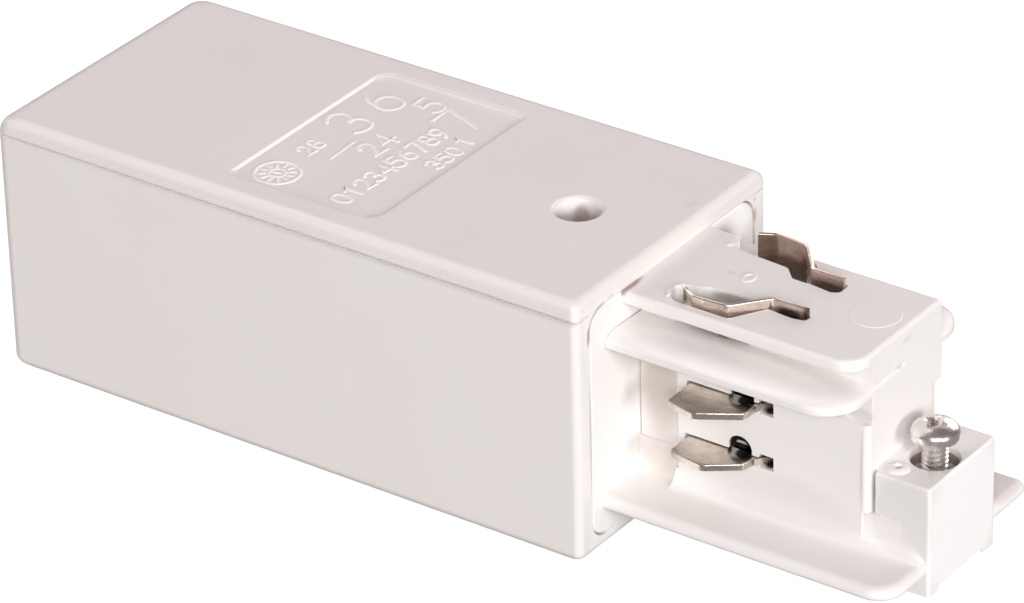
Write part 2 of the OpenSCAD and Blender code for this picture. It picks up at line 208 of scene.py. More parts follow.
def finish(ob, name, body, nodes, mat, angle=32, weld=0.002, flat=True):
    """Cleans the mesh, puts it in metres in the row frame, and stands it for its CAD nodes."""
    bm = bmesh.new()
    bm.from_mesh(ob.data)
    bmesh.ops.remove_doubles(bm, verts=bm.verts[:], dist=weld)
    bmesh.ops.dissolve_degenerate(bm, edges=bm.edges[:], dist=weld)
    for v in bm.verts:
        v.co = Vector(((v.co.x - BACK) / 1000, v.co.y / 1000, (v.co.z - DATUM) / 1000))
    big = [f for f in bm.faces if len(f.verts) > 4]
    bmesh.ops.triangulate(bm, faces=big, quad_method="BEAUTY", ngon_method="BEAUTY")
    bm.to_mesh(ob.data)
    bm.free()
    me = ob.data
    me.name = name
    ob.name = name
    me.materials.clear()
    me.materials.append(mat)
    me.shade_smooth()
    me.set_sharp_from_angle(angle=math.radians(angle))
    if flat:
        m = ob.modifiers.new("normals", "WEIGHTED_NORMAL")
        m.mode, m.weight, m.keep_sharp = "FACE_AREA", 80, True
    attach(ob, body)
    if nodes:
        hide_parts(*nodes)
    return ob


# ---------------------------------------------------------------- materials
def material(name):
    m = bpy.data.materials.new(name)
    m.use_nodes = True
    m.node_tree.nodes.clear()
    return m, m.node_tree.nodes, m.node_tree.links


def spot_mask(N, L, coord, at, size, inner=0.45):
    """1 inside an ellipsoid at (x, y, z) mm with half-axes size mm, fading to 0 at its surface."""
    c = ((at[0] - BACK) / 1000, at[1] / 1000, (at[2] - DATUM) / 1000)
    sub = N.new("ShaderNodeVectorMath"); sub.operation = "SUBTRACT"; sub.inputs[1].default_value = c
    L.new(coord, sub.inputs[0])
    sc = N.new("ShaderNodeVectorMath"); sc.operation = "MULTIPLY"; sc.inputs[1].default_value = tuple(1000 / k for k in size)
    L.new(sub.outputs[0], sc.inputs[0])
    ln = N.new("ShaderNodeVectorMath"); ln.operation = "LENGTH"
    L.new(sc.outputs[0], ln.inputs[0])
    mr = N.new("ShaderNodeMapRange"); mr.interpolation_type = "SMOOTHSTEP"
    mr.inputs["From Min"].default_value, mr.inputs["From Max"].default_value = inner, 1.0
    mr.inputs["To Min"].default_value, mr.inputs["To Max"].default_value = 1.0, 0.0
    L.new(ln.outputs["Value"], mr.inputs["Value"])
    return mr.outputs[0]


def arc_mask(N, L, coord, y, z, radius, half):
    """1 on a cylinder along x round (y, z) mm, fading to 0 at the distance half from it."""
    sub = N.new("ShaderNodeVectorMath"); sub.operation = "SUBTRACT"; sub.inputs[1].default_value = (0, y / 1000, (z - DATUM) / 1000)
    L.new(coord, sub.inputs[0])
    sc = N.new("ShaderNodeVectorMath"); sc.operation = "MULTIPLY"; sc.inputs[1].default_value = (0, 1000, 1000)
    L.new(sub.outputs[0], sc.inputs[0])
    ln = N.new("ShaderNodeVectorMath"); ln.operation = "LENGTH"
    L.new(sc.outputs[0], ln.inputs[0])
    off = N.new("ShaderNodeMath"); off.operation = "SUBTRACT"; off.inputs[1].default_value = radius
    L.new(ln.outputs["Value"], off.inputs[0])
    ab = N.new("ShaderNodeMath"); ab.operation = "ABSOLUTE"
    L.new(off.outputs[0], ab.inputs[0])
    mr = N.new("ShaderNodeMapRange"); mr.interpolation_type = "SMOOTHSTEP"
    mr.inputs["From Min"].default_value, mr.inputs["From Max"].default_value = 0.0, half
    mr.inputs["To Min"].default_value, mr.inputs["To Max"].default_value = 1.0, 0.0
    L.new(ab.outputs[0], mr.inputs["Value"])
    return mr.outputs[0]


def lay_marks_and_painted_light(N, L, coord, col, marks_and_painted_light):
    """Lays marks and painted shade and light (place, half-axes, colour, strength[, hard core[, arc]]) over a colour."""
    for at, size, tint, strength, *more in marks_and_painted_light:
        k = N.new("ShaderNodeMath"); k.operation = "MULTIPLY"; k.inputs[1].default_value = strength
        L.new(spot_mask(N, L, coord, at, size, *more[:1]), k.inputs[0])
        if len(more) > 1:
            both = N.new("ShaderNodeMath"); both.operation = "MULTIPLY"
            L.new(k.outputs[0], both.inputs[0]); L.new(arc_mask(N, L, coord, *more[1]), both.inputs[1])
            k = both
        mx = N.new("ShaderNodeMix"); mx.data_type = "RGBA"
        L.new(k.outputs[0], mx.inputs["Factor"]); L.new(col, mx.inputs["A"])
        mx.inputs["B"].default_value = (*tint, 1)
        col = mx.outputs["Result"]
    return col


def plastic(name, base, rough=0.42, texture=0.00012, warm=0.02, marks_and_painted_light=()):
    """Satin moulded plastic: faint cloudiness, fine spark-eroded grain, small dull specks, and a list of marks with
    painted shade and light laid over them.
    """
    m, N, L = material(name)
    out = N.new("ShaderNodeOutputMaterial")
    p = N.new("ShaderNodeBsdfPrincipled")
    L.new(p.outputs[0], out.inputs[0])
    tc = N.new("ShaderNodeTexCoord")
    cloud = N.new("ShaderNodeTexNoise"); cloud.inputs["Scale"].default_value = 70; cloud.inputs["Detail"].default_value = 3
    L.new(tc.outputs["Object"], cloud.inputs["Vector"])
    ramp = N.new("ShaderNodeValToRGB")
    ramp.color_ramp.elements[0].position, ramp.color_ramp.elements[1].position = 0.35, 0.68
    lo = [c * (1 - warm * k) for c, k in zip(base, (0.55, 1.0, 1.1))]
    hi = [min(1, c * (1 + warm * 0.4)) for c in base]
    ramp.color_ramp.elements[0].color = (*lo, 1)
    ramp.color_ramp.elements[1].color = (*hi, 1)
    L.new(cloud.outputs["Fac"], ramp.inputs["Fac"])
    # dull specks
    vor = N.new("ShaderNodeTexVoronoi"); vor.inputs["Scale"].default_value = 260
    L.new(tc.outputs["Object"], vor.inputs["Vector"])
    spot = N.new("ShaderNodeMapRange")
    spot.inputs["From Min"].default_value, spot.inputs["From Max"].default_value = 0.015, 0.05
    L.new(vor.outputs["Distance"], spot.inputs["Value"])
    gate = N.new("ShaderNodeMath"); gate.operation = "GREATER_THAN"; gate.inputs[1].default_value = 0.93
    sep = N.new("ShaderNodeSeparateColor"); L.new(vor.outputs["Color"], sep.inputs[0])
    L.new(sep.outputs[0], gate.inputs[0])
    inv = N.new("ShaderNodeMath"); inv.operation = "SUBTRACT"; inv.inputs[0].default_value = 1.0
    L.new(spot.outputs[0], inv.inputs[1])
    amount = N.new("ShaderNodeMath"); amount.operation = "MULTIPLY"
    L.new(inv.outputs[0], amount.inputs[0]); L.new(gate.outputs[0], amount.inputs[1])
    faint = N.new("ShaderNodeMath"); faint.operation = "MULTIPLY"; faint.inputs[1].default_value = 0.16
    L.new(amount.outputs[0], faint.inputs[0])
    mix = N.new("ShaderNodeMix"); mix.data_type = "RGBA"
    L.new(faint.outputs[0], mix.inputs["Factor"])
    L.new(ramp.outputs[0], mix.inputs["A"])
    mix.inputs["B"].default_value = (base[0] * 0.55, base[1] * 0.5, base[2] * 0.46, 1)
    col = mix.outputs["Result"]
    # marks left by handling and moulding, and painted shade and light: (place, half-axes, colour, strength)
    col = lay_marks_and_painted_light(N, L, tc.outputs["Object"], col, marks_and_painted_light)
    L.new(col, p.inputs["Base Color"])
    # grain
    grain = N.new("ShaderNodeTexNoise"); grain.inputs["Scale"].default_value = 5200; grain.inputs["Detail"].default_value = 2
    L.new(tc.outputs["Object"], grain.inputs["Vector"])
    soft = N.new("ShaderNodeTexNoise"); soft.inputs["Scale"].default_value = 500; soft.inputs["Detail"].default_value = 2
    L.new(tc.outputs["Object"], soft.inputs["Vector"])
    summ = N.new("ShaderNodeMath"); summ.operation = "MULTIPLY_ADD"; summ.inputs[1].default_value = 0.6
    L.new(soft.outputs["Fac"], summ.inputs[0]); L.new(grain.outputs["Fac"], summ.inputs[2])
    bump = N.new("ShaderNodeBump"); bump.inputs["Strength"].default_value = 0.12; bump.inputs["Distance"].default_value = texture
    L.new(summ.outputs[0], bump.inputs["Height"])
    L.new(bump.outputs[0], p.inputs["Normal"])
    rr = N.new("ShaderNodeMapRange")
    rr.inputs["To Min"].default_value, rr.inputs["To Max"].default_value = rough - 0.05, rough + 0.06
    L.new(soft.outputs["Fac"], rr.inputs["Value"])
    L.new(rr.outputs[0], p.inputs["Roughness"])
    p.inputs["Specular IOR Level"].default_value = 0.4
    p.inputs["IOR"].default_value = 1.5
    return m


def metal(name, base, rough=0.28, dark=0.6, brushed=(1, 1, 1), z_dark=None, scale=900, marks_and_painted_light=()):
    """Plated metal: fine rolling lines, faint tarnish clouds."""
    m, N, L = material(name)
    out = N.new("ShaderNodeOutputMaterial")
    p = N.new("ShaderNodeBsdfPrincipled")
    L.new(p.outputs[0], out.inputs[0])
    p.inputs["Metallic"].default_value = 1.0
    tc = N.new("ShaderNodeTexCoord")
    cloud = N.new("ShaderNodeTexNoise"); cloud.inputs["Scale"].default_value = 420; cloud.inputs["Detail"].default_value = 4
    L.new(tc.outputs["Object"], cloud.inputs["Vector"])
    ramp = N.new("ShaderNodeValToRGB")
    ramp.color_ramp.elements[0].position, ramp.color_ramp.elements[1].position = 0.32, 0.62
    ramp.color_ramp.elements[0].color = (base[0] * dark, base[1] * dark * 0.96, base[2] * dark * 0.92, 1)
    ramp.color_ramp.elements[1].color = (*base, 1)
    L.new(cloud.outputs["Fac"], ramp.inputs["Fac"])
    col = ramp.outputs[0]
    # painted shade: z_dark darkens the metal from z1 down to z0
    if z_dark:
        z0, z1, amount = z_dark
        sep = N.new("ShaderNodeSeparateXYZ"); L.new(tc.outputs["Object"], sep.inputs[0])
        mr = N.new("ShaderNodeMapRange")
        mr.inputs["From Min"].default_value, mr.inputs["From Max"].default_value = (z0 - DATUM) / 1000, (z1 - DATUM) / 1000
        mr.inputs["To Min"].default_value, mr.inputs["To Max"].default_value = amount, 0.0
        L.new(sep.outputs[2], mr.inputs["Value"])
        mx = N.new("ShaderNodeMix"); mx.data_type = "RGBA"
        L.new(mr.outputs[0], mx.inputs["Factor"]); L.new(col, mx.inputs["A"])
        mx.inputs["B"].default_value = (base[0] * 0.16, base[1] * 0.13, base[2] * 0.11, 1)
        col = mx.outputs["Result"]
    col = lay_marks_and_painted_light(N, L, tc.outputs["Object"], col, marks_and_painted_light)
    L.new(col, p.inputs["Base Color"])
    mp = N.new("ShaderNodeMapping"); mp.inputs["Scale"].default_value = brushed
    L.new(tc.outputs["Object"], mp.inputs["Vector"])
    lines = N.new("ShaderNodeTexNoise"); lines.inputs["Scale"].default_value = scale; lines.inputs["Detail"].default_value = 3
    L.new(mp.outputs[0], lines.inputs["Vector"])
    bump = N.new("ShaderNodeBump"); bump.inputs["Strength"].default_value = 0.18; bump.inputs["Distance"].default_value = 0.00004
    L.new(lines.outputs["Fac"], bump.inputs["Height"]); L.new(bump.outputs[0], p.inputs["Normal"])
    rr = N.new("ShaderNodeMapRange")
    rr.inputs["To Min"].default_value, rr.inputs["To Max"].default_value = rough - 0.08, rough + 0.1
    L.new(lines.outputs["Fac"], rr.inputs["Value"]); L.new(rr.outputs[0], p.inputs["Roughness"])
    return m


BROWN = (0.33, 0.20, 0.16)
SEAM = (0.50, 0.45, 0.38)
# painted shade: near-black patches where the pivot holes and blade slots open into the plug, laid on the plastic round
# them and on the copper strips seen through them
DEEP_SHADE = (0.022, 0.015, 0.012)
hollow_shade, strip_shade = [], []
for side in (-1, 1):
    for hole_x, hole_z, slot_z in ((13.1, 14.0, 12.72), (13.4, 20.6, 19.3)):
        hollow_shade += [((FACE + hole_x, side * 5.5, hole_z), (2.12, 2.2, 2.12), DEEP_SHADE, 1.0, 0.85),
                    ((FACE + 16.35, side * 5.2, slot_z + 0.6), (1.38, 2.4, 1.28), DEEP_SHADE, 1.0, 0.8)]
        strip_shade.append(((FACE + 14.5, side * 4.2, slot_z - 0.2), (4.4, 1.9, 1.7), DEEP_SHADE, 1.0, 0.85))
SHADE = (0.64, 0.615, 0.59)
# darkens the seam round the plate, along its upper near corner (CORNER) and down its near side (EDGE)
SEAM_DARK = (0.36, 0.31, 0.27)
CORNER = ((FACE, -15.2, 29.6), (1.2, 3.0, 3.4), SEAM_DARK, 0.9, 0.6, (-12.9, 27.5, 2.72, 0.42))
EDGE = ((FACE - 0.35, -15.68, 15.0), (0.5, 0.52, 14.5), (0.44, 0.40, 0.37), 0.85, 0.45)
M_BOX = plastic("plastic_box", (0.82, 0.79, 0.765), marks_and_painted_light=[
    # painted shade on the near front rounded edge of the box
    ((FACE, -17.1, 15), (1.3, 1.6, 19), (0.77, 0.745, 0.725), 0.85, 0.6),
    ((75, -18, 29.85), (120, 0.8, 0.46), SHADE, 0.75, 0.0),
    CORNER, EDGE,
    ((FACE, -15.72, 27.4), (0.7, 0.42, 1.5), BROWN, 0.7), ((FACE, -15.5, 25.2), (0.5, 0.3, 1.4), SEAM, 0.7),
    ((FACE, -15.35, 29.0), (0.5, 0.4, 0.8), SEAM, 0.6), ((FACE, -15.65, 15), (0.4, 0.25, 12), SEAM, 0.35),
    ((FACE, 14.6, 29.5), (0.5, 1.7, 0.5), (0.55, 0.42, 0.36), 0.7),
    ((FACE, 15.8, 27.6), (0.5, 0.4, 1.2), (0.55, 0.42, 0.36), 0.7)])
M_LID = plastic("plastic_lid", (0.82, 0.785, 0.765), marks_and_painted_light=[
    ((75, -18, 29.85), (120, 0.8, 0.46), SHADE, 0.75, 0.0),
    CORNER, EDGE,
    # painted shade on the lid's front top rounding
    ((FACE, 0, 31.75), (1.5, 30, 1.1), (0.77, 0.735, 0.705), 0.85, 0.6),
    # painted shade: a grey line along the far top rounding
    ((39, 17.4, 32.0), (200, 0.75, 0.5), (0.44, 0.42, 0.40), 0.5, 0.2),
    ((FACE - 2.1, 6.8, TOP), (0.9, 1.6, 0.5), (0.60, 0.50, 0.45), 0.22, 0.1),
    # painted highlight on the tops of the raised figures
    ((40, -0.3, 32.17), (20, 24, 0.075), (0.93, 0.90, 0.88), 0.75, 0.6),
    # painted shade down the screw well
    ((FACE - 11.2, 0.4, 28.6), (4.2, 4.2, 3.2), (0.48, 0.43, 0.39), 0.9, 0.35), ((FACE - 12.9, 2.0, 29.9), (1.25, 2.2, 2.1), (0.40, 0.34, 0.29), 0.8, 0.4),
    ((FACE - 11.75, -0.6, 32.2), (3.15, 3.15, 0.35), (0.72, 0.69, 0.67), 0.7, 0.9),
    ((FACE, -13.6, 30.2), (0.6, 0.9, 0.35), SEAM, 0.5), ((FACE, -11.6, 30.5), (0.6, 0.9, 0.3), SEAM, 0.45)])
PLUG_BASE = (0.845, 0.82, 0.80)
M_CORE = plastic("plastic_core", PLUG_BASE, rough=0.36, texture=0.00008, marks_and_painted_light=hollow_shade + [
    # painted shade in the recesses beside the plate, near and far
    ((FACE + 2.6, -6.5, 18.5), (3.6, 1.2, 10.0), (0.57, 0.515, 0.46), 0.9, 0.3),
    ((FACE + 2.6, 6.5, 18.5), (3.6, 1.2, 10.0), (0.66, 0.60, 0.53), 0.9, 0.3),
    ((FACE + 29, -0.9, 26.1), (0.6, 0.9, 0.5), (0.62, 0.55, 0.50), 0.55),
    ((FACE + 29, 0.2, 28.7), (0.6, 1.2, 0.35), (0.66, 0.60, 0.56), 0.5),
    ((FACE + 7.5, -0.15, 30.2), (0.9, 0.35, 0.4), (0.66, 0.58, 0.54), 0.5),
    # painted light on the middle ledge under the top flange
    ((FACE + 14, -10.6, 26.3), (16, 3.6, 1.0), (0.96, 0.925, 0.90), 1.0, 0.7),
    # painted shade inside the near earth opening and along its far wall
    ((FACE + 9.5, -4.6, 27.2), (6.4, 3.2, 2.9), (0.20, 0.17, 0.15), 0.85, 0.3),
    ((FACE + 10.6, -3.7, 29.4), (4.2, 0.5, 0.85), (0.33, 0.29, 0.27), 0.75, 0.4),
    # painted shadow under the ledge's front corner
    ((FACE + 27.6, -6.4, 22.4), (2.2, 0.9, 1.1), (0.62, 0.57, 0.545), 0.6),
    ((FACE + 0.05, -8.3, 30.1), (0.8, 3.1, 0.75), (0.30, 0.21, 0.165), 0.85, 0.4)])
M_PLUG = plastic("plastic_plug", PLUG_BASE, rough=0.36, texture=0.00008, marks_and_painted_light=hollow_shade + [
    ((FACE + 31.0, -4.4, 16.15), (0.5, 0.5, 0.5), (0.45, 0.38, 0.34), 0.8),
    # painted shade in the well round the clamp screw
    ((FACE + 32.9, -0.3, 14.7), (3.1, 3.1, 1.6), (0.27, 0.20, 0.165), 0.9, 0.9),
    CORNER, EDGE,
    # painted shade in the slit beside the post
    ((FACE + 29.2, -6.0, 13.6), (0.4, 0.75, 2.7), (0.20, 0.16, 0.13), 0.9, 0.8),
    ((FACE + 36.1, 0.2, 9.5), (0.6, 9.0, 9.0), (0.93, 0.925, 0.925), 0.85, 0.7),
    # painted light on the plate's far top corner, where the flange's shadow falls
    ((FACE, 11.0, 28.2), (0.6, 4.6, 2.8), (0.90, 0.885, 0.87), 0.9, 0.6),
    # painted shade in the lower recess beside the plate
    ((FACE + 2.5, -6.6, 9.0), (3.6, 1.0, 3.6), (0.68, 0.62, 0.56), 0.8, 0.3),
    ((FACE + 28.5, -6.9, 16.0), (0.7, 0.7, 7.0), (0.66, 0.645, 0.63), 0.95, 0.6),
    # painted shadow of the block on the far end of the bottom flange
    ((FACE + 33.5, 10.5, 7.1), (5.5, 4.2, 0.9), (0.70, 0.64, 0.61), 0.85, 0.5),
    # painted shade low on the near side of the body and of the block
    ((FACE + 18, -7.3, 9.2), (13.5, 0.9, 4.5), (0.735, 0.715, 0.70), 0.75, 0.5),
    ((FACE + 33, -6.5, 11.0), (4.6, 0.9, 7.0), (0.735, 0.715, 0.70), 0.8, 0.7)])
M_RUB = plastic("rubber_entry", (0.60, 0.60, 0.585), rough=0.62, texture=0.00015)
M_CONTACT = metal("contact_nickel", (0.74, 0.67, 0.61), rough=0.27, dark=0.72, brushed=(0.25, 2.2, 1))
# painted light and shade: the near and far earth leaves are the same nickel, each given its own tone; the near leaf's
# z_dark is painted shade low in its slot
M_EARTH_N = metal("earth_nickel_near", (0.86, 0.76, 0.68), rough=0.27, dark=0.72, brushed=(0.3, 0.3, 2.4), z_dark=(28.9, 30.1, 0.8), marks_and_painted_light=[
    ((FACE + 10.5, -6.5, 31.5), (9, 3.5, 0.3), (0.42, 0.35, 0.30), 0.7, 0.35),
    ((FACE + 19.5, -3.7, 30.6), (0.9, 0.8, 1.2), (0.10, 0.075, 0.065), 0.9), ((FACE + 17.2, -3.9, 30.0), (2.2, 0.4, 0.9), (0.12, 0.09, 0.08), 0.85),
    ((FACE + 6.4, -7.2, 30.6), (0.7, 0.9, 1.2), (0.20, 0.15, 0.13), 0.8)])
M_EARTH_F = metal("earth_nickel_far", (0.96, 0.82, 0.74), rough=0.27, dark=0.74, brushed=(0.3, 0.3, 2.4), marks_and_painted_light=[
    # painted shade: these three darken the far leaf's lower face
    ((FACE + 6.9, 7.5, 29.8), (1.7, 1.3, 3.0), (0.40, 0.31, 0.265), 0.85, 0.75),
    ((FACE + 9.6, 7.6, 27.7), (4.4, 1.3, 2.1), (0.22, 0.165, 0.135), 0.9, 0.45),
    ((FACE + 12.1, 7.5, 28.2), (1.3, 1.0, 2.4), (0.22, 0.165, 0.135), 0.8, 0.5),
    ((FACE + 17.4, 3.7, 29.6), (3.4, 1.0, 0.95), (0.26, 0.20, 0.165), 0.9, 0.5)])
M_SCREW = metal("screw_zinc", (0.90, 0.875, 0.845), rough=0.27, dark=0.84, scale=1600, marks_and_painted_light=[
    # painted shade in the cross recess of the head
    ((FACE + 32.9, -0.3, 20.1), (1.3, 1.3, 0.95), (0.30, 0.265, 0.24), 0.85, 0.4)])
# painted shade: the strips are darkened where they show through the holes and slots
M_COPPER = metal("strip_copper", (0.72, 0.42, 0.27), rough=0.33, dark=0.75, marks_and_painted_light=strip_shade)
M_BRASS = metal("terminal_brass", (0.72, 0.56, 0.26), rough=0.32, dark=0.8)

# ---------------------------------------------------------------- box
def stack(fn, levels, name="stack"):
    """Rings of the outline fn(inset) at the heights of levels [(inset, z), ...], closed at both ends."""
    bm = bmesh.new()
    rings = [[bm.verts.new((p[0], p[1], z)) for p in fn(i)] for i, z in levels]
    n = len(rings[0])
    for a, b in zip(rings, rings[1:]):
        for k in range(n):
            bm.faces.new((a[k - 1], a[k], b[k], b[k - 1]))
    bm.faces.new(rings[0][::-1])
    bm.faces.new(rings[-1])
    bmesh.ops.recalc_face_normals(bm, faces=bm.faces[:])
    return new_obj(name, bm)


def round_in(r, d):
    """How far a rim of radius r draws in at the depth d below its tangent plane."""
    if r <= 0 or d >= r:
        return 0.0
    return r - math.sqrt(max(0.0, r * r - (r - max(d, 0.0)) ** 2))


def box_form(name="form"):
    """Outer form of the closed box: the rim is rounder at the far side and most at the cable end."""
    near, front, far, back, low = 1.0, 1.0, 1.7, 2.5, 1.35
    zs = [DATUM + low * (1 - math.cos(math.pi / 2 * k / 8)) for k in range(9)]
    zs += [TOP - 2.5 * (1 - math.sin(math.pi / 2 * k / 16)) for k in range(17)]
    levels = []
    for z in zs:
        dl = round_in(low, z - DATUM)
        t = TOP - z
        levels.append(((dl + round_in(near, t), dl + round_in(front, t), dl + round_in(far, t), dl + round_in(back, t)), z))

    def ring(i):
        n, f, w, b = i
        return rect(b, FACE - f, -18 + n, 18 - w, [1.65, 0.9, 0.9, 1.65], 8)
    return stack(ring, levels, name)


PLATE = lambda m: rect(-15.5 - m, 15.5 + m, 2.45 - m, 30.1 + m, [2.3 + m, 2.3 + m, 2.6 + m, 2.6 + m], 8)
SIDES = lambda i: rect(i, FACE - i, -18 + i, 18 - i, [1.4, 0.7, 0.7, 1.4], 6)

base = box_form()
base = keep(base, stack(SIDES, [(-1, -1), (-1, 29.75), (0, 29.8), (0.04, 29.86), (0.26, 29.875), (0.26, 29.89)]))
base = cut(base,
           box(2, 75.3, -16, 16, 2, 40),
           box(FACE - 3.05, FACE - 1.2, -16.7, 16.7, 1.3, 40),
           cut(prism(PLATE(0.2), FACE - 2, FACE + 2, "x"), box(FACE - 2.5, FACE + 2.5, -12.9, 12.9, 2.0, 2.44)),
           box(FACE - 2, FACE + 2, -15.6, 15.6, 26.9, 40),
           prism(circle(0, 13.5, 8.7, 64), -3, 1.0, "x"),
           prism(circle(0, 13.5, 6.6, 64), -3, 4.0, "x"))
ring = prism(circle(30, 0, 6.5, 64), -2, 1.3)
ring = cut(ring, prism(circle(30, 0, 5.7, 64), -3, 3))
base = cut(base, ring)
boss = prism(circle(0, 13.5, 10, 64), 1.9, 3.2, "x")
boss = cut(boss, prism(circle(0, 13.5, 6.6, 64), 0, 5, "x"))
base = add(base, boss, box(12.5, 17.5, -5.5, 5.5, 1.9, 8.4, 0.4),
           *[prism(circle(15, y, 3.2, 40), 1.9, 18.8, top=0.3) for y in (-9.7, 9.7)],
           *[box(FACE - 31, FACE - 26.4, y - 1.4, y + 1.4, 1.9, 6, 0.3) for y in (-14.2, 14.2)])
base = cut(base, *[prism(circle(15, y, 1.25, 24), 8, 30) for y in (-9.7, 9.7)])
base = finish(base, "housing_base", "feed", ["base_housing"], M_BOX)

lid = box_form("lid")
lid = keep(lid, stack(SIDES, [(0.26, 29.905), (0.26, 29.92), (0.13, 30.02), (0.03, 30.2), (0, 30.32), (-1, 30.36), (-1, 40)]))
lid = cut(lid, box(FACE - 3.1, FACE - 1.15, -16.75, 16.75, 20, 30.16), box(FACE - 2, FACE + 3, -15.58, 15.58, 20, 30.16))
skirt = cut(box(2.2, 74.9, -15.8, 15.8, 28.2, 30.1, 0.2), box(3.4, 73.7, -14.6, 14.6, 26, 30.05))
WELL = (FACE - 11.75, -0.6)
lid = add(lid, skirt, prism(circle(*WELL, 4, 48), 24.5, 30.5, bottom=0.3))
ears = [cut(box(FACE - 1.12, FACE - 0.03, y0, y0 + 3, 28.1, 30.6), prism(PLATE(0.19), FACE - 3, FACE + 2, "x")) for y0 in (-15.55, 12.55)]
lid = add(lid, *ears)
lid = cut(lid,
          revolve([(0, 26.2), (2.5, 26.2), (2.52, 31.7), (2.58, 32.0), (2.72, 32.2), (2.95, 32.36), (3.0, 34), (0, 34)], *WELL, n=96),
          prism(circle(*WELL, 1.7, 24), 20, 30))
# rating panel: a shallow recess with plain raised marks
px0, px1, py0, py1 = 30.1, 50.0, -14.75, 14.1
panel = stack(lambda i: rect(px0 + i * 1.6, px1 - i * 1.5, py0 + i * 7, py1 - i * 7.5, [0.9 - i, 2.0 - i, 1.3 - i, 2.0 - i], 6), [(0.16, TOP - 0.3), (0.0, TOP - 0.02), (-0.06, TOP + 0.06), (-0.06, TOP + 3)])
lid = cut(lid, panel)
PZ = TOP - 0.3


def mark(path, w=0.46, h=0.12, close=False):
    """A raised stroke that follows a path (x, y) on the panel's floor, its edges drafted."""
    pts = [Vector(p) for p in path]
    n = len(pts)
    sides = []
    for i, p in enumerate(pts):
        a = pts[i - 1] if (i or close) else p
        b = pts[(i + 1) % n] if (i < n - 1 or close) else p
        d = (b - a)
        if d.length < 1e-6:
            d = Vector((1, 0))
        d.normalize()
        nrm = Vector((-d.y, d.x))
        k = 1.0
        if (0 < i < n - 1) or close:
            e = (p - a).normalized()
            k = 1 / max(0.6, abs(Vector((-e.y, e.x)).dot(nrm)))
        sides.append((p, nrm * k, d))
    bm = bmesh.new()
    rows = []
    for half, z in ((w / 2 + 0.08, PZ - 0.05), (w / 2, PZ + h * 0.5), (w / 2 - 0.12, PZ + h)):
        left, right = [], []
        for i, (p, nn, d) in enumerate(sides):
            end = 0.0
            if not close and i in (0, n - 1):
                end = half * (-1 if i == 0 else 1)
            q = p + d * end
            left.append(bm.verts.new((*(q + nn * half), z)))
            right.append(bm.verts.new((*(q - nn * half), z)))
        rows.append((left, right))
    m = n if close else n - 1
    for (l0, r0), (l1, r1) in zip(rows, rows[1:]):
        for i in range(m):
            j = (i + 1) % n
            bm.faces.new((l0[i], l0[j], l1[j], l1[i]))
            bm.faces.new((r0[j], r0[i], r1[i], r1[j]))
        if not close:
            bm.faces.new((r0[0], l0[0], l1[0], r1[0]))
            bm.faces.new((l0[-1], r0[-1], r1[-1], l1[-1]))
    for i in range(m):
        j = (i + 1) % n
        bm.faces.new((rows[-1][0][i], rows[-1][0][j], rows[-1][1][j], rows[-1][1][i]))
        bm.faces.new((rows[0][0][j], rows[0][0][i], rows[0][1][i], rows[0][1][j]))
    bmesh.ops.recalc_face_normals(bm, faces=bm.faces[:])
    return new_obj("mark", bm)


def arc(cx, cy, rx, ry, a0, a1, n=10):
    return [(cx + rx * math.cos(math.radians(a0 + (a1 - a0) * k / n)), cy + ry * math.sin(math.radians(a0 + (a1 - a0) * k / n))) for k in range(n + 1)]


# figures 0.62 wide and 1 high, drawn with single strokes
FIG = {"0": [arc(0.31, 0.5, 0.31, 0.5, 90, 450, 16)],
       "1": [[(0.1, 0.76), (0.34, 1.0), (0.34, 0.0)]],
       "2": [arc(0.31, 0.7, 0.29, 0.3, 165, -35, 8) + [(0.02, 0.0), (0.62, 0.0)]],
       "3": [arc(0.29, 0.74, 0.27, 0.26, 150, -80, 8), arc(0.29, 0.26, 0.31, 0.27, 80, -150, 8)],
       "4": [[(0.46, 0.0), (0.46, 1.0), (0.0, 0.32), (0.64, 0.32)]],
       "5": [[(0.58, 1.0), (0.1, 1.0), (0.06, 0.56)] + arc(0.28, 0.31, 0.32, 0.32, 110, -150, 9)],
       "6": [arc(0.31, 0.31, 0.29, 0.31, 100, 460, 14), [(0.03, 0.36), (0.14, 0.72), (0.42, 1.0)]],
       "7": [[(0.0, 1.0), (0.6, 1.0), (0.22, 0.0)]],
       "8": [arc(0.31, 0.75, 0.23, 0.25, 90, 450, 12), arc(0.31, 0.26, 0.3, 0.27, 90, 450, 12)],
       "9": [arc(0.31, 0.69, 0.29, 0.31, 90, 450, 12), [(0.6, 0.66), (0.46, 0.28), (0.18, 0.0)]],
       "-": [[(0.08, 0.5), (0.54, 0.5)]]}


def figures(text, x, y, size, w=0.46, h=0.11, pitch=0.86, turn=90):
    """A row of raised plain figures; the row runs along +y from (x, y), its top towards -x."""
    out = []
    ct, st = math.cos(math.radians(turn)), math.sin(math.radians(turn))
    for k, c in enumerate(text):
        for q, stroke in enumerate(FIG.get(c, [])):
            pts = []
            for a, b in stroke:
                a, b = (a + k * pitch) * size, b * size
                pts.append((x + a * ct - b * st, y + a * st + b * ct))
            shut = (Vector(pts[0]) - Vector(pts[-1])).length < 0.05
            out.append(mark(pts[:-1] if shut else pts, w, h + 0.012 * q + 0.005 * (k % 2), shut))
    return out


marks = []
